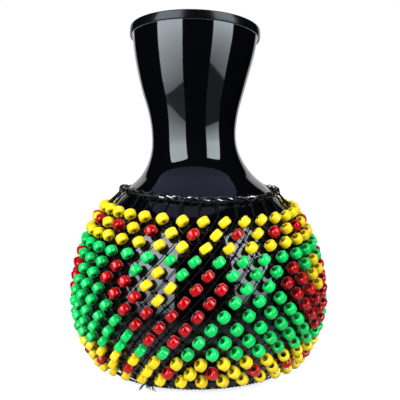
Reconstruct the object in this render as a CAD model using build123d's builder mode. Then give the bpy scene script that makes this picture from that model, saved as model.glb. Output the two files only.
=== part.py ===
"""Shekere: a hollow fibreglass gourd with a flared neck, in a loose knotted net of pony beads."""

import os
from math import asin, atan2, cos, degrees, pi, radians, sin

from build123d import *

# Shell outline, in millimetres, with the front of the instrument facing -Y
base_radius = 62.0
equator_radius = 96.5
equator_height = 62.0
waist_radius = 36.5
waist_height = 187.0
neck_root_arc = 42.0
flare_arc = 110.0
flare_turn = 17.5
mouth_radius = 52.4
mouth_height = 278.8
shell_wall = 2.5
base_corner = 8.0

# Edge trim pressed over the mouth
trim_height = 7.0
trim_lip = 1.6
trim_clearance = 0.25

# Lay of the net, with places measured up the side of the shell from its base edge
bead_rows = 14
bead_lines = 36
first_line_turn = 10.2
net_twist = 3.75
net_droop = 13.5
droop_turn = 15.3
shoulder_drop = 11.0
loop_reach = 15.1
bottom_knots = 20.0
closing_place = 10.0

# Beads and cords
bead_diameter = 8.8
bead_length = 6.0
bead_hole = 4.4
bead_sides = 6
bead_seat = 0.5
strand_radius = 0.58
strand_sides = 3
draw_cord_radius = 1.5
closing_cord_radius = 0.9
wall_gap = 0.4
cord_gap = 0.35
strand_hang = 0.6
bead_lift = 0.8
loop_ends_apart = 1.7

# Bead colours: plain borders above and below a motif of downward triangles in blocks of two by two
yellow_rows = (1, 2, 3, 12, 13, 14)
green_rows = (4, 11)
speckled_rows = (2, 13)
motif_first_row = 5
motif_blocks = (
    ("yellow", "red", "green"),
    ("red", "red", "red"),
    ("green", "green", "green"),
    ("red", "green", "green"),
)
ground_block = 2
back_gap_line = 22

os.makedirs("parts", exist_ok=True)


def finish(builder, name):
    """Label a finished piece and write it to its own file."""
    builder.part.label = name
    export_step(builder.part, f"parts/{name}.step")


# Tangent arcs of the outline: bowl, neck root and flare run into each other
base_step = equator_radius - base_radius
lower_arc = (base_step**2 + equator_height**2) / (2 * base_step)
lower_turn = degrees(atan2(equator_height, lower_arc - base_step))
waist_step = equator_radius - waist_radius
waist_rise = waist_height - equator_height
upper_arc = (waist_step**2 + waist_rise**2) / (2 * waist_step) - neck_root_arc
upper_turn = degrees(atan2(waist_rise, upper_arc + neck_root_arc - waist_step))

with BuildLine() as outline:
    lower_centre = (equator_radius - lower_arc, equator_height)
    lower_bowl = CenterArc(lower_centre, lower_arc, -lower_turn, lower_turn)
    upper_bowl = CenterArc((equator_radius - upper_arc, equator_height), upper_arc, 0, upper_turn)
    CenterArc((waist_radius + neck_root_arc, waist_height), neck_root_arc, 180 + upper_turn, -upper_turn)
    flare = CenterArc((waist_radius + flare_arc, waist_height), flare_arc, 180, -flare_turn)
    mouth = TangentArc(flare @ 1, (mouth_radius, mouth_height), tangent=flare % 1)
side_line = outline.wire()

# Shell: one moulding of even wall, closed and flat at the base, with its mouth cut level
with BuildPart() as shell:
    with BuildSketch(Plane.XZ):
        with BuildLine() as wall:
            Line((0, 0), lower_bowl @ 0)
            add(outline.line)
            fillet(wall.vertices().sort_by_distance(lower_bowl @ 0)[0], base_corner)
            offset(amount=shell_wall, side=Side.LEFT)
        make_face()
        with Locations((mouth_radius, mouth_height)):
            Rectangle(mouth_radius, shell_wall, align=(Align.CENTER, Align.MIN), mode=Mode.SUBTRACT)
    revolve(axis=Axis.Z)
finish(shell, "shell")

# Trim: its groove straddles the leaning wall, and the cut edge seats on the groove's floor
trim_depth = trim_height - trim_lip
groove_foot = mouth.position_at(mouth.length - trim_depth, PositionMode.LENGTH)
groove_outer = max(mouth_radius, groove_foot.X) + trim_clearance
groove_inner = min(mouth_radius, groove_foot.X) - shell_wall - trim_clearance
groove_width = groove_outer - groove_inner
groove_middle = (groove_outer + groove_inner) / 2

with BuildPart() as rim_trim:
    with BuildSketch(Plane.XZ) as trim_section:
        with Locations((groove_middle, mouth_height + trim_lip)):
            Rectangle(groove_width + 2 * trim_lip, trim_height, align=(Align.CENTER, Align.MAX))
        fillet(trim_section.vertices().group_by(Axis.Y)[-1], trim_lip)
        with Locations((groove_middle, mouth_height)):
            Rectangle(groove_width, trim_height, align=(Align.CENTER, Align.MAX), mode=Mode.SUBTRACT)
    revolve(axis=Axis.Z)
finish(rim_trim, "rim_trim")

# The net's lattice: knots in rows half a step apart, between the closing cord and the draw cord
draw_place = lower_bowl.length + upper_bowl.length - shoulder_drop
row_step = (draw_place - loop_reach - bottom_knots) / bead_rows
line_step = 2 * pi / bead_lines
strand_height = bead_diameter / 2 + wall_gap - strand_hang
tie_height = strand_height - 2 * strand_radius - cord_gap


def above_shell(place, turn, height):
    """A point so far up the side line, round from the front to the right, and out from the wall."""
    foot = side_line.position_at(place, PositionMode.LENGTH)
    rise = side_line.tangent_at(place, PositionMode.LENGTH)
    radius = foot.X + height * rise.Y
    return Vector(radius * sin(turn), -radius * cos(turn), foot.Y - height * rise.X)


def droop(turn):
    """How far the net hangs below its level at the sides and behind: most near the front."""
    lean = cos(turn - radians(droop_turn))
    return net_droop * lean * (1 + lean) / 2


def knot_turn(row, line):
    """Each row of knots stands half a step to the left of the row above, less the twist of the net."""
    return radians(first_line_turn + net_twist * row / bead_rows) + (line - row / 2) * line_step


def knot(row, line, height):
    """The knot below a bead, or at row 0 above the first beads; the droop fades towards the bottom."""
    turn = knot_turn(row, line)
    fade = 1 - (row / bead_rows) ** 2
    return above_shell(bottom_knots + (bead_rows - row) * row_step - fade * droop(turn), turn, height)


def outward(row, line):
    """The direction out of the wall at a knot."""
    return knot(row, line, 1) - knot(row, line, 0)


# Draw cord: one ring round the shoulder, between its lowest point near the front and its highest behind
loop_radius = draw_cord_radius + cord_gap + strand_radius
draw_height = loop_radius + strand_radius + cord_gap
low_turn = radians(droop_turn)
draw_low = above_shell(draw_place - droop(low_turn), low_turn, draw_height)
draw_high = above_shell(draw_place - droop(low_turn + pi), low_turn + pi, draw_height)
draw_radius = (draw_high - draw_low).length / 2
draw_centre = (draw_low + draw_high) / 2
draw_shift = -draw_centre.dot(Vector(-sin(low_turn), cos(low_turn), 0))
draw_side = Vector(cos(low_turn), sin(low_turn), 0)
draw_plane = Plane(draw_centre, x_dir=draw_side, z_dir=draw_side.cross(draw_high - draw_low))

with BuildPart(draw_plane) as draw_cord:
    Torus(draw_radius, draw_cord_radius)
finish(draw_cord, "draw_cord")

# Closing cord: a level ring under the bowl
closing_height = wall_gap + 2 * strand_radius + closing_cord_radius
closing_point = above_shell(closing_place, 0, closing_height)

with BuildPart(Plane.XY.offset(closing_point.Z)) as closing_cord:
    Torus(-closing_point.Y, closing_cord_radius)
finish(closing_cord, "closing_cord")


def draw_loop(line):
    """The plane of a loop round the draw cord, midway between two top knots, its X axis downhill."""
    turn = knot_turn(0, line + 0.5) - low_turn
    ring_turn = turn + asin(draw_shift * sin(turn) / draw_radius)
    spoke = Vector(sin(ring_turn), -cos(ring_turn), 0)
    centre = draw_plane.from_local_coords(spoke * draw_radius)
    along = draw_plane.from_local_coords((cos(ring_turn), sin(ring_turn), 0)) - draw_centre
    downhill = (knot(0, line, tie_height) + knot(0, line + 1, tie_height)) / 2 - centre
    return Plane(centre, x_dir=downhill, z_dir=along)


# Top loops: the folded strands hang on the draw cord
with BuildPart() as top_loops:
    with Locations(*[draw_loop(line) for line in range(bead_lines)]):
        Torus(loop_radius, strand_radius)
finish(top_loops, "top_loops")


def loop_end(line, side):
    """Where a strand leaves a top loop, on its left or right side."""
    drop = loop_radius + 2 * strand_radius + cord_gap
    return draw_loop(line).from_local_coords((drop, 0, side * loop_ends_apart / 2))


def closing_end(line, side):
    """Where a strand meets the closing cord, a quarter step to one side of its last knot."""
    turn = knot_turn(bead_rows, line) + side * line_step / 4
    reach = closing_cord_radius + cord_gap + strand_radius
    return above_shell(closing_place + reach, turn, closing_height)


def swept_cord(route, first_outward):
    """A cord swept along straight runs from knot to knot, with an edge towards the wall."""
    with BuildLine() as path:
        Polyline(*route)
    with BuildSketch(Plane(route[0], x_dir=first_outward, z_dir=route[1] - route[0])) as section:
        RegularPolygon(strand_radius, strand_sides, rotation=180)
    return sweep(section.sketch, path=path.wire(), transition=Transition.RIGHT, mode=Mode.PRIVATE)


def strand(route, top_outward, bottom_outward):
    """One cord of the net, swept from its top, or from its bottom where that leaves an unsound corner."""
    cord = swept_cord(route, top_outward)
    if not cord.is_valid:
        cord = swept_cord(route[::-1], bottom_outward)
    add(cord)


# Bead strands: down to the right, through one bead between knots
with BuildPart() as bead_strands:
    for line in range(bead_lines):
        knots = [knot(row, line + row, strand_height) for row in range(bead_rows + 1)]
        route = [loop_end(line - 1, 1), *knots, closing_end(line + bead_rows, 1)]
        strand(route, outward(0, line), outward(bead_rows, line + bead_rows))
finish(bead_strands, "bead_strands")

# Tie strands: down to the left, bare, under the bead strands at every knot
with BuildPart() as tie_strands:
    for line in range(bead_lines):
        knots = [knot(row, line, tie_height) for row in range(bead_rows + 1)]
        route = [loop_end(line, -1), *knots, closing_end(line, -1)]
        strand(route, outward(0, line), outward(bead_rows, line))
finish(tie_strands, "tie_strands")

# Bead: a short barrel with its hole, one corner towards the wall
with BuildPart() as bead:
    with BuildSketch():
        RegularPolygon(bead_diameter / 2, bead_sides)
        RegularPolygon(bead_hole / 2, strand_sides, rotation=180, mode=Mode.SUBTRACT)
    extrude(amount=bead_length / 2, both=True)


def bead_place(row, line):
    """A bead threads the bead strand in the middle of its leg, and stands a little out from it."""
    upper = knot(row - 1, line - 1, strand_height)
    lower = knot(row, line, strand_height)
    away = (outward(row - 1, line - 1) + outward(row, line)).normalized()
    centre = upper + (lower - upper) * bead_seat + away * bead_lift
    return Plane(centre, x_dir=away, z_dir=lower - upper)


def bead_colour(row, line):
    """The colour of a bead, with one wider stretch of ground between two triangles at the back."""
    if row in speckled_rows and line % 2 == 0:
        return "red"
    if row in yellow_rows:
        return "yellow"
    block_row = (row - motif_first_row - line % 2) // 2
    if row in green_rows or block_row < 0:
        return "green"
    motif_lines = 2 * len(motif_blocks)
    spare_lines = bead_lines % motif_lines
    if line < back_gap_line:
        block = line % motif_lines // 2
    elif line < back_gap_line + spare_lines:
        block = ground_block
    else:
        block = (line - spare_lines) % motif_lines // 2
    return motif_blocks[block][block_row]


# Beads: one piece for each colour in each row
for row in range(1, bead_rows + 1):
    for colour in ("yellow", "red", "green"):
        lines = [line for line in range(bead_lines) if bead_colour(row, line) == colour]
        if lines:
            with BuildPart() as beads:
                with Locations(*[bead_place(row, line) for line in lines]):
                    add(bead.part)
            finish(beads, f"beads_row_{row:02d}_{colour}")
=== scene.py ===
"""Looks of a shekere: a glossy black gourd in a loose knotted net of pony beads."""

import random
from math import asin, atan2, cos, pi, radians, sin, sqrt, tan

import bpy
from mathutils import Matrix, Vector


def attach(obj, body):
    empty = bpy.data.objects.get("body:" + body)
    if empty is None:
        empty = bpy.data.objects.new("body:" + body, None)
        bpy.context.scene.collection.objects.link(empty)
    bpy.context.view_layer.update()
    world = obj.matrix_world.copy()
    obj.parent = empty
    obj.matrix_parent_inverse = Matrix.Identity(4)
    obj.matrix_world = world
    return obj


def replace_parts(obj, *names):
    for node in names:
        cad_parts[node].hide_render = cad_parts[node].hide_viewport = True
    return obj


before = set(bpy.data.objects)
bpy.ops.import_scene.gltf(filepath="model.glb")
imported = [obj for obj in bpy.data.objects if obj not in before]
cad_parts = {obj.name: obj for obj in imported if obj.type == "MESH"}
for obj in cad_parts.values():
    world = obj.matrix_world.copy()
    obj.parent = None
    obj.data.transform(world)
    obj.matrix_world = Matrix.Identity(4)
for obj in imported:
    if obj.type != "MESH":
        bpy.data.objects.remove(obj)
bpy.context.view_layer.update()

# Shell: one hollow moulding of glass fibre and polyester, laid up in a mould behind a black gel coat
# that is polished to a mirror. The base is flat. The neck came out of the mould a little crooked and
# slim, and its mouth is cut a little out of level.
base_radius, base_corner = 0.062, 0.008
equator_radius, equator_height = 0.0965, 0.062
waist_radius, waist_height = 0.0365, 0.187
neck_root_arc, flare_arc, flare_turn = 0.042, 0.110, radians(17.5)
mouth_radius, mouth_height = 0.0524, 0.2788
shell_wall, shell_steps = 0.0025, 160
base_rings = (0.25, 0.6)
corner_steps, lower_steps, upper_steps = 5, 18, 24
root_steps, flare_steps, mouth_steps = 14, 10, 10

# The faults of the neck, each with the heights between which it comes in, or goes out again.
neck_foot = 0.146
neck_aside, aside_comes, aside_goes = 0.0026, (neck_foot, 0.196), (0.225, 0.300)
neck_forward, forward_comes = 0.0065, (0.150, 0.222)
neck_slim, slim_comes, slim_goes, slim_lost = 0.0020, (0.160, 0.200), (0.235, 0.275), 0.6
rim_sink, rim_tilt, rim_nod, rim_comes = 0.0006, radians(2.1), radians(1.0), (0.225, 0.273)


def arc(centre, radius, start, end, count):
    """Points of a profile along an arc, without the first."""
    angles = [start + (end - start) * step / count for step in range(1, count + 1)]
    return [(centre[0] + radius * cos(angle), centre[1] + radius * sin(angle)) for angle in angles]


def lathe(name, profile):
    """Extrude a vertex along a profile of radius and height, and spin it round the upright axis."""
    bpy.ops.object.select_all(action="DESELECT")
    bpy.ops.mesh.primitive_plane_add()
    piece = bpy.context.object
    piece.name = name
    bpy.ops.object.mode_set(mode="EDIT")
    bpy.ops.mesh.merge(type="CENTER")
    bpy.ops.transform.translate(value=(profile[0][0], 0, profile[0][1]))
    for before, after in zip(profile, profile[1:]):
        step = (after[0] - before[0], 0, after[1] - before[1])
        bpy.ops.mesh.extrude_vertices_move(TRANSFORM_OT_translate={"value": step})
    bpy.ops.mesh.select_all(action="SELECT")
    bpy.ops.mesh.spin(steps=shell_steps, angle=2 * pi, center=(0, 0, 0), axis=(0, 0, 1))
    bpy.ops.mesh.select_all(action="SELECT")
    bpy.ops.mesh.remove_doubles(threshold=1e-6)
    bpy.ops.mesh.normals_make_consistent(inside=False)
    bpy.ops.object.mode_set(mode="OBJECT")
    return piece


def ease(value, start, end):
    """A smooth step from 0 at the start to 1 at the end."""
    share = min(max((value - start) / (end - start), 0), 1)
    return share * share * (3 - 2 * share)


def make_crooked(piece):
    """Give a piece of the neck its faults: a lean, a slimmer flare, and a rim that is out of level."""
    for vertex in piece.data.vertices:
        x, y, z = vertex.co
        if z > neck_foot:
            aside = neck_aside * ease(z, *aside_comes) * (1 - ease(z, *aside_goes))
            forward = neck_forward * ease(z, *forward_comes)
            slim = neck_slim * ease(z, *slim_comes) * (1 - slim_lost * ease(z, *slim_goes))
            share = 1 - slim / vertex.co.xy.length
            sink = rim_sink + x * tan(rim_tilt) + (y + mouth_radius) * tan(rim_nod)
            vertex.co = (x * share - aside, y * share - forward, z - sink * ease(z, *rim_comes))


# The profile is a flat base with a rounded corner, two arcs that meet at the equator, a hollow root of
# the neck, and a flare that bends upright again at the mouth. Rings on the base keep its faces short.
base_step = equator_radius - base_radius
lower_arc = (base_step**2 + equator_height**2) / (2 * base_step)
lower_turn = atan2(equator_height, lower_arc - base_step)
lower_centre = (equator_radius - lower_arc, equator_height)
corner_reach = sqrt((lower_arc - base_corner)**2 - (equator_height - base_corner)**2)
corner_turn = atan2(base_corner - equator_height, corner_reach)
corner_centre = (lower_centre[0] + corner_reach, base_corner)
waist_step, waist_rise = equator_radius - waist_radius, waist_height - equator_height
upper_arc = (waist_step**2 + waist_rise**2) / (2 * waist_step) - neck_root_arc
upper_turn = atan2(waist_rise, upper_arc + neck_root_arc - waist_step)
upper_centre = (equator_radius - upper_arc, equator_height)
flare_end = pi - flare_turn
flare_tip = Vector((waist_radius + flare_arc * (1 + cos(flare_end)),
                    waist_height + flare_arc * sin(flare_end)))
mouth_way = Vector((mouth_radius, mouth_height)) - flare_tip
mouth_side = Vector((cos(flare_end), sin(flare_end)))
mouth_arc = mouth_way.length_squared / (2 * mouth_way.dot(mouth_side))
mouth_centre = flare_tip + mouth_side * mouth_arc
mouth_turn = asin((mouth_height - mouth_centre.y) / mouth_arc)
outline = [
    (0, 0), *[(share * base_radius, 0) for share in base_rings], (corner_centre[0], 0),
    *arc(corner_centre, base_corner, -pi / 2, corner_turn, corner_steps),
    *arc(lower_centre, lower_arc, corner_turn, 0, lower_steps),
    *arc(upper_centre, upper_arc, 0, upper_turn, upper_steps),
    *arc((waist_radius + neck_root_arc, waist_height), neck_root_arc, pi + upper_turn, pi, root_steps),
    *arc((waist_radius + flare_arc, waist_height), flare_arc, pi, flare_end, flare_steps),
    *arc(mouth_centre, mouth_arc, -flare_turn, mouth_turn, mouth_steps),
]
shell = lathe("gourd_shell", outline)
make_crooked(shell)
wall = shell.modifiers.new("wall", "SOLIDIFY")
wall.thickness, wall.offset = shell_wall, -1
wall.material_offset, wall.material_offset_rim = 1, 1

# Polished polyester gel coat: deep black under a clear surface, with a faint ripple from the mould
# about 9 mm from crest to crest, and a haze of fine polishing that varies over some 30 mm.
ripple_width, haze_width = 0.009, 0.030


def linear(code):
    """An sRGB hex colour as linear light."""
    parts = [int(code[i:i + 2], 16) / 255 for i in (1, 3, 5)]
    return (*[part / 12.92 if part <= 0.04045 else ((part + 0.055) / 1.055) ** 2.4 for part in parts], 1)


def plug(tree, node, **inputs):
    """Give inputs of a node their values or links, by name, or by number after an underscore."""
    for name, value in inputs.items():
        socket = node.inputs[int(name[1:]) if name[1:].isdigit() else name.replace("_", " ")]
        if isinstance(value, bpy.types.NodeSocket):
            tree.links.new(value, socket)
        else:
            socket.default_value = value


def add_node(tree, kind, settings=None, **inputs):
    """Add a shader node with its settings and its inputs."""
    node = tree.nodes.new(kind)
    for name, value in (settings or {}).items():
        setattr(node, name, value)
    plug(tree, node, **inputs)
    return node


def new_material(name):
    """A material with its tree, its Principled shader and the place of a point on the piece."""
    material = bpy.data.materials.new(name)
    material.use_nodes = True
    tree = material.node_tree
    place = add_node(tree, "ShaderNodeTexCoord").outputs["Object"]
    return material, tree, tree.nodes["Principled BSDF"], place


gel_coat, tree, surface, place = new_material("polished_black_gel_coat")
ripple = add_node(tree, "ShaderNodeTexNoise", Vector=place, Scale=1 / ripple_width, Detail=1.0)
bump = add_node(tree, "ShaderNodeBump", Height=ripple.outputs["Fac"], Strength=0.05, Distance=0.0004)
haze = add_node(tree, "ShaderNodeTexNoise", Vector=place, Scale=1 / haze_width, Detail=3.0)
gloss = add_node(tree, "ShaderNodeMapRange", Value=haze.outputs["Fac"], To_Min=0.03, To_Max=0.07)
plug(tree, surface, Base_Color=linear("#050507"), Roughness=gloss.outputs["Result"], IOR=1.55,
     Coat_Weight=0.15, Coat_Roughness=0.03, Normal=bump.outputs["Normal"])

# Raw laminate inside: chopped glass mat under dark resin that was never polished. Its strands of glass
# are about 0.8 mm wide and take up some 0.3 of the way between them, and it has lumps of some 5 mm.
laminate, tree, surface, place = new_material("raw_glass_laminate")
strand_width, strand_share, lump_width = 0.0008, 0.3, 0.005
mat = add_node(tree, "ShaderNodeTexVoronoi", Vector=place, Scale=strand_share / strand_width, Randomness=1.0)
lumps = add_node(tree, "ShaderNodeTexNoise", Vector=place, Scale=1 / lump_width, Detail=3.0)
shade = add_node(tree, "ShaderNodeMix", {"data_type": "RGBA"}, Factor=mat.outputs["Distance"],
                 A=linear("#0C0C0D"), B=linear("#262524"))
bump = add_node(tree, "ShaderNodeBump", Height=lumps.outputs["Fac"], Strength=0.6, Distance=0.0006)
plug(tree, surface, Base_Color=shade.outputs["Result"], Roughness=0.62, Normal=bump.outputs["Normal"])

# Shell and trim are kept out of mirror images, so that neck and bowl don't darken each other's gloss.
shell.data.materials.append(gel_coat)
shell.data.materials.append(laminate)
bpy.ops.object.modifier_apply(modifier="wall")
bpy.ops.object.shade_smooth_by_angle(angle=radians(30))
shell.visible_glossy = False
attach(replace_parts(shell, "shell"), "gourd")

# Rim trim: a U-section edging of black vinyl, extruded in a length, pressed over the cut edge of
# the mouth and glued. It guards the hand and hides the raw laminate.
trim_height, trim_lip, trim_round = 0.007, 0.0016, 0.00065
groove_outer, groove_inner = 0.05265, 0.04927
belly_lip, belly_drop = 1.12 * trim_lip, 0.002
trim_outer, trim_inner = groove_outer + trim_lip, groove_inner - trim_lip
trim_top, trim_bottom = mouth_height + trim_lip, mouth_height + trim_lip - trim_height
section = [
    (groove_outer, trim_bottom), (trim_outer, trim_bottom),
    (groove_outer + belly_lip, mouth_height - belly_drop),
    (trim_outer, trim_top), (trim_inner, trim_top), (trim_inner, trim_bottom),
    (groove_inner, trim_bottom), (groove_inner, mouth_height),
    (groove_outer, mouth_height), (groove_outer, trim_bottom),
]
rim = lathe("rim_edging", section)
make_crooked(rim)
rounding = rim.modifiers.new("rounding", "BEVEL")
rounding.width, rounding.segments, rounding.angle_limit = trim_round, 3, radians(40)
bpy.ops.object.modifier_apply(modifier="rounding")
bpy.ops.object.shade_smooth_by_angle(angle=radians(40))

# Extruded vinyl: near black and satin, with the fine lines that the die leaves all the way round,
# drawn 0.7 mm apart because the real ones are too fine to show, and scuffs some 12 mm across.
vinyl, tree, surface, place = new_material("satin_black_vinyl")
die_line, die_stretch, scuff_width = 0.0007, 0.02, 0.012
drawn = add_node(tree, "ShaderNodeMapping", Vector=place, Scale=(die_stretch, die_stretch, 1))
lines = add_node(tree, "ShaderNodeTexNoise", Vector=drawn.outputs["Vector"], Scale=1 / die_line, Detail=2.0)
bump = add_node(tree, "ShaderNodeBump", Height=lines.outputs["Fac"], Strength=0.25, Distance=0.0001)
scuff = add_node(tree, "ShaderNodeTexNoise", Vector=place, Scale=1 / scuff_width, Detail=4.0)
satin = add_node(tree, "ShaderNodeMapRange", Value=scuff.outputs["Fac"], To_Min=0.15, To_Max=0.25)
plug(tree, surface, Base_Color=linear("#060709"), Roughness=satin.outputs["Result"],
     Specular_IOR_Level=0.28, Normal=bump.outputs["Normal"])
rim.data.materials.append(vinyl)
rim.visible_glossy = False
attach(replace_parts(rim, "rim_trim"), "gourd")

# Draw cord: a ring of shiny nylon, two plies twisted tightly together, that lies on the shoulder and
# gathers the top of the net. It sags towards the front, as the whole net does. The plies press into
# each other, so they are drawn a little thicker than two that only touch.
shoulder_drop, draw_height = 0.011, 0.00336
draw_cord_radius, draw_cord_lay = 0.0020, 0.020
net_droop, droop_turn = 0.0135, radians(15.3)
ring_plies, ply_swell = 2, 1.08
points_per_lay, least_points = 9, 160
small_turn, small_rise = 0.01, 0.001
lower_length, upper_length = lower_arc * lower_turn, upper_arc * upper_turn
draw_place = lower_length + upper_length - shoulder_drop


def above_shell(place, turn, height):
    """A point so far up the side of the bowl, round from the front to the right, and out from the wall."""
    if place < lower_length:
        centre, reach, angle = lower_centre, lower_arc + height, place / lower_arc - lower_turn
    else:
        centre, reach, angle = upper_centre, upper_arc + height, (place - lower_length) / upper_arc
    radius = centre[0] + reach * cos(angle)
    return Vector((radius * sin(turn), -radius * cos(turn), centre[1] + reach * sin(angle)))


def droop(turn):
    """How far the net hangs below its level at the sides and behind: most near the front."""
    lean = cos(turn - droop_turn)
    return net_droop * lean * (1 + lean) / 2


def draw_line(turn):
    """How far up the side of the bowl the draw cord lies."""
    return draw_place - droop(turn)


def along_shell(place, turn, height):
    """The direction of a ring of cord on the shell, and the direction out of the wall."""
    before = above_shell(place(turn - small_turn), turn - small_turn, height)
    after = above_shell(place(turn + small_turn), turn + small_turn, height)
    out = above_shell(place(turn), turn, height + small_rise) - above_shell(place(turn), turn, height)
    return (after - before).normalized(), out.normalized()


def tube(name, routes, radius, closed=False):
    """Round cords along the given routes, as one smooth mesh."""
    curve = bpy.data.curves.new(name, "CURVE")
    curve.dimensions = "3D"
    curve.bevel_depth, curve.bevel_resolution, curve.use_fill_caps = radius, 1, True
    curve.resolution_u = 2
    for route in routes:
        spline = curve.splines.new("NURBS")
        spline.points.add(len(route) - 1)
        for point, place in zip(spline.points, route):
            point.co = (*place, 1)
        spline.order_u, spline.use_cyclic_u, spline.use_endpoint_u = 3, closed, not closed
    piece = bpy.data.objects.new(name, curve)
    bpy.context.collection.objects.link(piece)
    bpy.ops.object.select_all(action="DESELECT")
    piece.select_set(True)
    bpy.context.view_layer.objects.active = piece
    bpy.ops.object.convert(target="MESH")
    bpy.ops.object.shade_smooth()
    return piece


def laid_ring(name, place, height, cord_radius, lay):
    """A ring of cord round the shell, whose plies wind round each other once in each length of lay."""
    turns = round(2 * pi * above_shell(place(pi / 2), pi / 2, height).xy.length / lay)
    points = max(points_per_lay * turns, least_points)
    ply_radius = cord_radius / (1 + 1 / sin(pi / ring_plies))
    routes = []
    for ply in range(ring_plies):
        route = []
        for step in range(points):
            turn = 2 * pi * step / points
            along, out = along_shell(place, turn, height)
            roll = 2 * pi * ply / ring_plies - turns * turn
            side = out * cos(roll) + out.cross(along) * sin(roll)
            route.append(above_shell(place(turn), turn, height) + side * (cord_radius - ply_radius))
        routes.append(route)
    return tube(name, routes, ply_swell * ply_radius, closed=True)


draw_cord = laid_ring("draw_cord_ring", draw_line, draw_height, draw_cord_radius, draw_cord_lay)

# Twisted nylon: dull black filament yarn with oily patches about 4 mm wide that throw bright glints,
# with an IOR well above that of oil so that they show. Its filaments are drawn as a grain of 0.5 mm,
# because the real ones are too fine to show.
nylon, tree, surface, place = new_material("twisted_black_nylon")
grain_width, oil_width = 0.0005, 0.004
oil = add_node(tree, "ShaderNodeTexNoise", Vector=place, Scale=1 / oil_width, Detail=0.0)
wet = add_node(tree, "ShaderNodeMapRange", Value=oil.outputs["Fac"], From_Min=0.51, From_Max=0.55)
grain = add_node(tree, "ShaderNodeTexNoise", Vector=place, Scale=1 / grain_width, Detail=2.0)
bump = add_node(tree, "ShaderNodeBump", Height=grain.outputs["Fac"], Strength=0.2, Distance=0.0001)
shade = add_node(tree, "ShaderNodeMix", {"data_type": "RGBA"}, Factor=grain.outputs["Fac"],
                 A=linear("#030303"), B=linear("#0C0C0E"))
plug(tree, surface, Base_Color=shade.outputs["Result"], Roughness=0.30, IOR=1.55, Specular_IOR_Level=0.25,
     Coat_Weight=wet.outputs["Result"], Coat_Roughness=0.05, Coat_IOR=2.8, Normal=bump.outputs["Normal"])
draw_cord.data.materials.append(nylon)
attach(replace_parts(draw_cord, "draw_cord"), "net")

# Net strands: thin black twine, hung by a fold from the draw cord and worked downwards. The strands
# that slope down to the right carry the beads, and the bare ones that slope to the left tie them. The
# net has room for strands of strand_radius, and the twine is a little thinner than that.
bead_rows, bead_lines, bead_diameter = 14, 36, 0.0088
first_line_turn, net_twist = radians(10.2), radians(3.75)
loop_reach, bottom_knots, closing_place = 0.0151, 0.020, 0.010
strand_radius, strand_hang, cord_gap, wall_gap = 0.00058, 0.0006, 0.00035, 0.0004
twine_radius, slack, corner_hold = 0.0004, 0.0005, 0.12
fold_gap, fold_shift, fold_steps, fold_angle = 0.00043, 0.15, 7, 45
loop_ends_apart = 0.0017
closing_cord_radius = 0.0009
loop_radius = draw_cord_radius + fold_gap
row_step = (draw_place - loop_reach - bottom_knots) / bead_rows
line_step = 2 * pi / bead_lines
strand_height = bead_diameter / 2 + wall_gap - strand_hang
tie_height = strand_height - 2 * strand_radius - cord_gap
closing_height = wall_gap + 2 * strand_radius + closing_cord_radius
hand = random.Random(14)


def knot_turn(row, line):
    """Each row of knots stands half a step to the left of the row above, less the twist of the net."""
    return first_line_turn + net_twist * row / bead_rows + (line - row / 2) * line_step


def knot(row, line, height):
    """The knot below a bead, or at row 0 above the first beads. Towards the bottom the droop fades out."""
    turn = knot_turn(row, line)
    fade = 1 - (row / bead_rows) ** 2
    return above_shell(bottom_knots + (bead_rows - row) * row_step - fade * droop(turn), turn, height)


def outward(row, line):
    """The direction out of the wall at a knot."""
    return (knot(row, line, small_rise) - knot(row, line, 0)).normalized()


def axes(centre, along, across):
    """Axes with Z along one direction and X as near as can be to another."""
    z = along.normalized()
    x = (across - z * across.dot(z)).normalized()
    return Matrix.Translation(centre) @ Matrix((x, z.cross(x), z)).transposed().to_4x4()


def draw_loop(line):
    """The axes of a fold round the draw cord, with Z along the cord and X downhill."""
    turn = knot_turn(0, line + fold_shift)
    centre = above_shell(draw_line(turn), turn, draw_height)
    return axes(centre, along_shell(draw_line, turn, draw_height)[0], knot(0, line, tie_height) - centre)


def loop_end(line, side):
    """Where a strand leaves its fold, on the left or right side."""
    drop = loop_radius + 2 * strand_radius + cord_gap
    return draw_loop(line) @ Vector((drop, 0, side * loop_ends_apart / 2))


def closing_end(line, side):
    """Where a strand meets the closing cord, a quarter step to one side of its last knot."""
    turn = knot_turn(bead_rows, line) + side * line_step / 4
    return above_shell(closing_place + closing_cord_radius, turn, closing_height)


def knotted(ends, knots):
    """A strand's route from knot to knot, with two close points to hold each corner and slack between."""
    stops = [ends[0], *knots, ends[1]]
    route = [stops[0]]
    for before, after in zip(stops, stops[1:]):
        wander = Vector((hand.uniform(-slack, slack), hand.uniform(-slack, slack), hand.uniform(-slack, 0)))
        route += [before.lerp(after, corner_hold), before.lerp(after, 0.5) + wander,
                  before.lerp(after, 1 - corner_hold), after]
    return route


bead_routes = [knotted((loop_end(line, 1), closing_end(line + bead_rows, 1)),
                       [knot(row, line + row, strand_height) for row in range(bead_rows + 1)])
               for line in range(bead_lines)]
tie_routes = [knotted((loop_end(line, -1), closing_end(line, -1)),
                      [knot(row, line, tie_height) for row in range(bead_rows + 1)])
              for line in range(bead_lines)]
fold_routes = []
for line in range(bead_lines):
    fold = draw_loop(line)
    route = [loop_end(line, -1)]
    for step in range(fold_steps):
        roll = radians(-fold_angle * (step + 1))
        across = loop_ends_apart * (step / (fold_steps - 1) - 0.5)
        route.append(fold @ Vector((loop_radius * cos(roll), loop_radius * sin(roll), across)))
    fold_routes.append([*route, loop_end(line, 1)])

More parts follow.
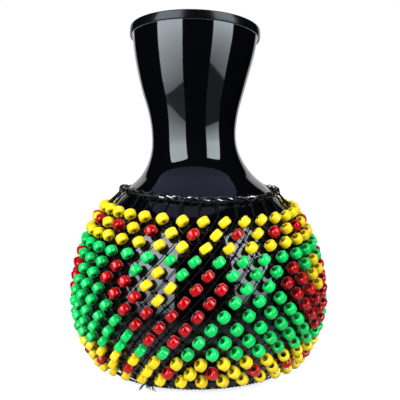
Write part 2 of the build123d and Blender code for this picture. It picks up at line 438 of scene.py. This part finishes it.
# Waxed twine: dull black nylon thread, twisted and drawn through wax. The twist is about 1.5 mm long
# and catches a little light.
twine, tree, surface, place = new_material("waxed_black_twine")
twist_length = 0.0015
twist = add_node(tree, "ShaderNodeTexNoise", Vector=place, Scale=1 / twist_length, Detail=2.0)
bump = add_node(tree, "ShaderNodeBump", Height=twist.outputs["Fac"], Strength=0.4, Distance=0.0002)
shade = add_node(tree, "ShaderNodeMix", {"data_type": "RGBA"}, Factor=twist.outputs["Fac"],
                 A=linear("#010101"), B=linear("#060607"))
plug(tree, surface, Base_Color=shade.outputs["Result"], Roughness=0.55, Specular_IOR_Level=0.12,
     Normal=bump.outputs["Normal"])
for name, routes, node in (
    ("bead_twine", bead_routes, "bead_strands"),
    ("tie_twine", tie_routes, "tie_strands"),
    ("fold_twine", fold_routes, "top_loops"),
):
    piece = tube(name, routes, twine_radius)
    piece.data.materials.append(twine)
    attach(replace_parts(piece, node), "net")

# Knots: an overhand knot of the same twine, pulled tight at every crossing just past the lower end of
# each bead. It keeps the bead in its place on the strand. Its shape is a trefoil.
knot_across, knot_depth, knot_points = 0.0011, 0.45, 15
trefoil = []
for step in range(knot_points):
    turn = 2 * pi * step / knot_points
    reach = knot_across * (2 + cos(3 * turn)) / 3
    trefoil.append((reach * cos(2 * turn), reach * sin(2 * turn), knot_depth * knot_across * sin(3 * turn)))
overhand = tube("overhand_knot", [trefoil], twine_radius, closed=True)
overhand.data.materials.append(twine)


def scatter(name, pattern, places, tints=None):
    """Copies of one modelled shape, each with its own mesh, joined as one piece."""
    bpy.ops.object.select_all(action="DESELECT")
    for index, place in enumerate(places):
        copy = pattern.copy()
        copy.data = pattern.data.copy()
        copy.data.transform(place)
        if tints:
            tint = copy.data.attributes.new("tint", "FLOAT", "POINT")
            tint.data.foreach_set("value", [tints[index]] * len(copy.data.vertices))
        bpy.context.collection.objects.link(copy)
        copy.select_set(True)
        bpy.context.view_layer.objects.active = copy
    bpy.ops.object.join()
    piece = bpy.context.object
    piece.name = name
    return piece


knot_places = []
for row in range(1, bead_rows + 1):
    for line in range(bead_lines):
        middle = knot(row, line, (strand_height + tie_height) / 2)
        turned = axes(middle, outward(row, line), knot(row + 1, line + 1, 0) - middle)
        knot_places.append(turned @ Matrix.Rotation(hand.uniform(0, 2 * pi), 4, "Z"))
knots = scatter("net_knots", overhand, knot_places)
bpy.data.objects.remove(overhand)
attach(knots, "net")

# Beads: pony beads of moulded polystyrene, 9 mm across and 6 mm long, with rounded ends and a
# straight hole. One is threaded on each leg of the strands that slope down to the right.
bead_length, bead_hole = 0.0058, 0.0042
bead_sides, bead_rim = 12, 0.0010
bead_lift, bead_seat = 0.0008, 0.5
bead_shift, bead_tilt, bead_dip = 0.0004, radians(6), radians(8)
nearly, same_level = 0.9, 1e-6

bpy.ops.object.select_all(action="DESELECT")
bpy.ops.mesh.primitive_cylinder_add(vertices=bead_sides, radius=bead_diameter / 2, depth=bead_length)
pony = bpy.context.object
bpy.ops.object.mode_set(mode="EDIT")
bpy.ops.mesh.select_mode(type="FACE")
bpy.ops.mesh.select_all(action="DESELECT")
bpy.ops.object.mode_set(mode="OBJECT")
for face in pony.data.polygons:
    face.select = abs(face.normal.z) > nearly
bpy.ops.object.mode_set(mode="EDIT")
bpy.ops.mesh.inset(thickness=(bead_diameter - bead_hole) / 2 * cos(pi / bead_sides))
bpy.ops.mesh.bridge_edge_loops()
bpy.ops.mesh.select_mode(type="EDGE")
bpy.ops.mesh.select_all(action="DESELECT")
bpy.ops.object.mode_set(mode="OBJECT")
for edge in pony.data.edges:
    ends = [pony.data.vertices[index].co for index in edge.vertices]
    level_edge = abs(ends[0].z - ends[1].z) < same_level
    outer_edge = min(end.xy.length for end in ends) > nearly * bead_diameter / 2
    edge.select = level_edge and outer_edge
bpy.ops.object.mode_set(mode="EDIT")
bpy.ops.mesh.bevel(offset=bead_rim, segments=1, affect="EDGES")
bpy.ops.object.mode_set(mode="OBJECT")
bpy.ops.object.shade_smooth_by_angle(angle=radians(60))
evened = pony.modifiers.new("evened", "WEIGHTED_NORMAL")
evened.keep_sharp = True
bpy.ops.object.modifier_apply(modifier="evened")

yellow_rows, green_rows, speckled_rows = (1, 2, 3, 12, 13, 14), (4, 11), (2, 13)
motif_first_row, ground_block, back_gap_line = 5, 2, 22
motif_blocks = (
    ("yellow", "red", "green"),
    ("red", "red", "red"),
    ("green", "green", "green"),
    ("red", "green", "green"),
)


def bead_colour(row, line):
    """The colour of a bead: downward triangles in blocks of two by two between plain borders."""
    if row in speckled_rows and line % 2 == 0:
        return "red"
    if row in yellow_rows:
        return "yellow"
    block_row = (row - motif_first_row - line % 2) // 2
    if row in green_rows or block_row < 0:
        return "green"
    motif_lines = 2 * len(motif_blocks)
    spare_lines = bead_lines % motif_lines
    if line < back_gap_line:
        block = line % motif_lines // 2
    elif line < back_gap_line + spare_lines:
        block = ground_block
    else:
        block = (line - spare_lines) % motif_lines // 2
    return motif_blocks[block][block_row]


def bead_place(row, line):
    """A bead hangs on the middle of its leg, a little out from it, and turned as it happens to lie."""
    upper, lower = knot(row - 1, line - 1, strand_height), knot(row, line, strand_height)
    away = (outward(row - 1, line - 1) + outward(row, line)).normalized()
    centre = upper.lerp(lower, bead_seat) + away * bead_lift
    centre += (lower - upper).normalized() * hand.uniform(-bead_shift, bead_shift)
    lean = Matrix.Rotation(hand.uniform(-bead_tilt, bead_tilt), 4, "X")
    nod = Matrix.Rotation(hand.uniform(-bead_tilt, bead_tilt) - bead_dip, 4, "Y")
    return axes(centre, lower - upper, away) @ lean @ nod @ Matrix.Rotation(hand.uniform(0, 2 * pi), 4, "Z")


# Moulded polystyrene: strong colour right through, a wet gloss, and slight differences from bead to
# bead and in flow marks about 3 mm wide. The red lets a little more light in than the others.
flow_width, flow_share = 0.003, 0.3
least_tint, most_tint = 0.35, 0.85
bead_finishes = {}
for colour, dark, bright, depth in (
    ("yellow", "#E4AE00", "#FFDF14", 0.06),
    ("red", "#800004", "#C4060A", 0.12),
    ("green", "#009238", "#02DC66", 0.06),
):
    finish, tree, surface, place = new_material(f"moulded_{colour}_polystyrene")
    flow = add_node(tree, "ShaderNodeTexNoise", Vector=place, Scale=1 / flow_width, Detail=2.0)
    batch = add_node(tree, "ShaderNodeAttribute", {"attribute_name": "tint"})
    blend = add_node(tree, "ShaderNodeMath", {"operation": "MULTIPLY_ADD"},
                     _0=flow.outputs["Fac"], _1=flow_share, _2=batch.outputs["Fac"])
    shade = add_node(tree, "ShaderNodeMix", {"data_type": "RGBA"}, Factor=blend.outputs["Value"],
                     A=linear(dark), B=linear(bright))
    plug(tree, surface, Base_Color=shade.outputs["Result"], Roughness=0.11, IOR=1.59,
         Specular_IOR_Level=0.4, Subsurface_Weight=depth, Subsurface_Scale=0.002)
    bead_finishes[colour] = finish
for row in range(1, bead_rows + 1):
    for colour, finish in bead_finishes.items():
        lines = [line for line in range(bead_lines) if bead_colour(row, line) == colour]
        if lines:
            tints = [hand.uniform(least_tint, most_tint) for line in lines]
            places = [bead_place(row, line) for line in lines]
            beads = scatter(f"pony_beads_{row:02d}_{colour}", pony, places, tints)
            beads.data.materials.append(finish)
            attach(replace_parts(beads, f"beads_row_{row:02d}_{colour}"), "net")
bpy.data.objects.remove(pony)

# Closing cord: a ring of the same twisted nylon round the foot of the bowl, which gathers the bottom of
# the net. It is tied with a knot at the front left, and its two cut ends are frayed.
closing_cord_lay = 0.006


def closing_line(turn):
    """How far up the side of the bowl the closing cord lies: level all round."""
    return closing_place


closing_cord = laid_ring("closing_cord_ring", closing_line, closing_height, closing_cord_radius,
                         closing_cord_lay)
closing_cord.data.materials.append(nylon)
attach(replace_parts(closing_cord, "closing_cord"), "net")

tie_turn, tie_across, tie_radius = radians(-31), 0.0022, 0.7 * closing_cord_radius
tail_length, tail_splits, tail_radius = 0.009, 4, 0.0003
tail_outward, tail_aside, tail_parting = (0.3, 0.8), (-0.1, 0.7), 0.3
tail_cut, tip_height = (0.7, 1), (0.0006, 0.0025)
bend_place, bend_rise, rest_place = 0.4, 0.0015, 0.75
closing_point = above_shell(closing_place, 0, closing_height)
tie_out = Vector((sin(tie_turn), -cos(tie_turn), 0))
tie_along = Vector((cos(tie_turn), sin(tie_turn), 0))
tie_centre = tie_out * (closing_cord_radius - closing_point.y) + Vector((0, 0, closing_point.z))
tie_axes = axes(tie_centre, tie_out, tie_along)
tie_route = [tie_axes @ (Vector(point) * tie_across / knot_across) for point in trefoil]
tie_knot = tube("closing_cord_tie", [tie_route], tie_radius, closed=True)
tail_routes = []
for side in (-1, 1):
    root = tie_centre + tie_along * side * tie_across
    for split in range(tail_splits):
        aim = (tie_out * hand.uniform(*tail_outward)
               + tie_along * (side * tail_parting + hand.uniform(*tail_aside)))
        tip = root + aim * tail_length * hand.uniform(*tail_cut)
        tip.z = hand.uniform(*tip_height)
        bend = root.lerp(tip, bend_place) + Vector((0, 0, bend_rise))
        tail_routes.append([root, bend, root.lerp(tip, rest_place), tip])
tails = tube("closing_cord_tails", tail_routes, tail_radius)
for piece in (tie_knot, tails):
    piece.data.materials.append(nylon)
    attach(piece, "net")

# Table: a small round table of board with a dull white top. Its colour greys towards its edge as painted
# shade, standing in for the light on it falling away. It is white to the camera, and gives up enough of its
# glow near the middle to keep the instrument's shadow.
table_radius, table_sides, table_gap = 0.34, 96, 0.0002
painted_shade_depth, middle_glow = 0.28, 0.7
bpy.ops.object.select_all(action="DESELECT")
bpy.ops.mesh.primitive_circle_add(vertices=table_sides, radius=table_radius, fill_type="NGON")
table = bpy.context.object
table.name = "pale_table"
table.location.z = -table_gap
table_top, tree, surface, place = new_material("white_table_top")
oval = add_node(tree, "ShaderNodeMapping", Vector=place, Scale=(1 / table_radius, 1 / painted_shade_depth, 1))
inward = add_node(tree, "ShaderNodeTexGradient", {"gradient_type": "SPHERICAL"},
                  Vector=oval.outputs["Vector"])
# Painted shade: the top's colour darkens from pale in the middle to dark grey at the edge, as if the light
# on it fell away.
shade = add_node(tree, "ShaderNodeMix", {"data_type": "RGBA"}, Factor=inward.outputs["Fac"],
                 A=linear("#383838"), B=linear("#E8E8E8"))
rays = add_node(tree, "ShaderNodeLightPath")
seen = add_node(tree, "ShaderNodeMath", {"operation": "MAXIMUM"},
                _0=rays.outputs["Is Camera Ray"], _1=rays.outputs["Is Transmission Ray"])
room = add_node(tree, "ShaderNodeMapRange", Value=inward.outputs["Fac"], To_Min=1.0, To_Max=middle_glow)
glow = add_node(tree, "ShaderNodeMath", {"operation": "MULTIPLY"},
                _0=seen.outputs["Value"], _1=room.outputs["Result"])
plug(tree, surface, Base_Color=shade.outputs["Result"], Specular_IOR_Level=0,
     Emission_Color=linear("#FFFFFF"), Emission_Strength=glow.outputs["Value"])
table.data.materials.append(table_top)

# Soft boxes: two tall boxes faced with white cloth at the front corners, which leave a strip of light
# on each side of the neck. Each is full bright above full_height, fades to foot_light further down, and
# ends in a dark skirt.
box_distance, box_foot, box_top = 1.0, -0.30, 1.10
full_height, foot_light = 0.38, 0.25
cool_white = (0.83, 0.92, 1.0)
box_middle, box_tall = (box_foot + box_top) / 2, box_top - box_foot
for name, turn, wide, skirt_top, skirt_light, radiance in (
    ("soft_box_left", radians(-44), 0.86, -0.12, 0.042, 7.4),
    ("soft_box_right", radians(51), 0.68, -0.01, 0.025, 7.4),
):
    lamp = bpy.data.lights.new(name, "AREA")
    lamp.shape, lamp.size, lamp.size_y = "RECTANGLE", wide, box_tall
    lamp.energy = radiance * pi * wide * box_tall
    lamp.color = cool_white
    lamp.use_nodes = True
    tree = lamp.node_tree
    skirt_share, full_share = (skirt_top - box_foot) / box_tall, (full_height - box_foot) / box_tall
    spot = add_node(tree, "ShaderNodeNewGeometry")
    upward = add_node(tree, "ShaderNodeSeparateXYZ", Vector=spot.outputs["Parametric"])
    fade = add_node(tree, "ShaderNodeMapRange", Value=upward.outputs["Y"],
                    From_Min=skirt_share, From_Max=full_share, To_Min=foot_light)
    lit = add_node(tree, "ShaderNodeMath", {"operation": "GREATER_THAN"},
                   _0=upward.outputs["Y"], _1=skirt_share)
    cloth = add_node(tree, "ShaderNodeMath", {"operation": "MULTIPLY"},
                     _0=fade.outputs["Result"], _1=lit.outputs["Value"])
    glow = add_node(tree, "ShaderNodeMath", {"operation": "MAXIMUM"},
                    _0=cloth.outputs["Value"], _1=skirt_light)
    plug(tree, tree.nodes["Emission"], Strength=glow.outputs["Value"])
    holder = bpy.data.objects.new(name, lamp)
    holder.location = (box_distance * sin(turn), -box_distance * cos(turn), box_middle)
    facing = Vector((0, 0, box_middle)) - holder.location
    holder.rotation_mode = "QUATERNION"
    holder.rotation_quaternion = facing.to_track_quat("-Z", "Y")
    bpy.context.collection.objects.link(holder)

# Overhead panel: a wide dim oval of cloth, hung level above the instrument and a little behind it. It
# leaves a bluish patch on the shoulder.
panel_wide, panel_deep, panel_radiance = 1.44, 1.40, 0.40
panel_aside, panel_back, panel_height = -0.11, 0.12, 1.2
bluish_white = (0.58, 0.63, 1.0)
lamp = bpy.data.lights.new("overhead_panel", "AREA")
lamp.shape, lamp.size, lamp.size_y = "ELLIPSE", panel_wide, panel_deep
lamp.energy = panel_radiance * pi * pi / 4 * panel_wide * panel_deep
lamp.color = bluish_white
holder = bpy.data.objects.new("overhead_panel", lamp)
holder.location = (panel_aside, panel_back, panel_height)
bpy.context.collection.objects.link(holder)

# Surround: white to the camera and through clear things, and a dim fill for what is dull. What shines
# mirrors only a low white wall behind the instrument, which lights the edges of the shell.
wall_edge, wall_middle = 0.81, 0.85
wall_full, wall_top = 0.52, 0.57
wall_shine, dull_fill = 0.8, 0.22
world = bpy.data.worlds.new("white_surround")
bpy.context.scene.world = world
world.use_nodes = True
tree = world.node_tree
tree.nodes.clear()
rays = add_node(tree, "ShaderNodeLightPath")
where = add_node(tree, "ShaderNodeTexCoord")
level = add_node(tree, "ShaderNodeVectorMath", {"operation": "MULTIPLY"},
                 _0=where.outputs["Generated"], _1=(1, 1, 0))
heading = add_node(tree, "ShaderNodeVectorMath", {"operation": "NORMALIZE"}, _0=level.outputs["Vector"])
backward = add_node(tree, "ShaderNodeVectorMath", {"operation": "DOT_PRODUCT"},
                    _0=heading.outputs["Vector"], _1=(0, 1, 0))
behind = add_node(tree, "ShaderNodeMapRange", {"interpolation_type": "SMOOTHSTEP"},
                  Value=backward.outputs["Value"], From_Min=wall_edge, From_Max=wall_middle)
rise = add_node(tree, "ShaderNodeSeparateXYZ", Vector=where.outputs["Generated"])
low = add_node(tree, "ShaderNodeMapRange", Value=rise.outputs["Z"],
               From_Min=wall_full, From_Max=wall_top, To_Min=1, To_Max=0)
back_wall = add_node(tree, "ShaderNodeMath", {"operation": "MULTIPLY"},
                     _0=behind.outputs["Result"], _1=low.outputs["Result"])
mirrored = add_node(tree, "ShaderNodeMath", {"operation": "MULTIPLY"},
                    _0=rays.outputs["Is Glossy Ray"], _1=wall_shine)
shiny = add_node(tree, "ShaderNodeMath", {"operation": "MULTIPLY"},
                 _0=mirrored.outputs["Value"], _1=back_wall.outputs["Value"])
seen = add_node(tree, "ShaderNodeMath", {"operation": "MAXIMUM"},
                _0=rays.outputs["Is Camera Ray"], _1=rays.outputs["Is Transmission Ray"])
white = add_node(tree, "ShaderNodeMath", {"operation": "MAXIMUM"},
                 _0=seen.outputs["Value"], _1=shiny.outputs["Value"])
fill = add_node(tree, "ShaderNodeMath", {"operation": "MULTIPLY"},
                _0=rays.outputs["Is Diffuse Ray"], _1=dull_fill)
strength = add_node(tree, "ShaderNodeMath", {"operation": "MAXIMUM"},
                    _0=white.outputs["Value"], _1=fill.outputs["Value"])
sky = add_node(tree, "ShaderNodeBackground", Color=linear("#FFFFFF"), Strength=strength.outputs["Value"])
add_node(tree, "ShaderNodeOutputWorld", Surface=sky.outputs["Background"])

# Camera: half-way up the instrument, close to it and not tipped, at the photograph's distance, and
# rolled a little as the photograph is.
focal_pixels, picture_pixels, sensor_width = 580, 400, 36
camera_aside, camera_distance, camera_height, camera_roll = 0.0020, 0.487, 0.139, radians(0.62)
camera = bpy.data.cameras.new("front_camera")
camera.sensor_width, camera.lens = sensor_width, sensor_width * focal_pixels / picture_pixels
stand = bpy.data.objects.new("front_camera", camera)
stand.location = (camera_aside, -camera_distance, camera_height)
stand.rotation_euler = (pi / 2, camera_roll, 0)
bpy.context.collection.objects.link(stand)
bpy.context.scene.camera = stand
bpy.context.scene.view_settings.view_transform = "Standard"
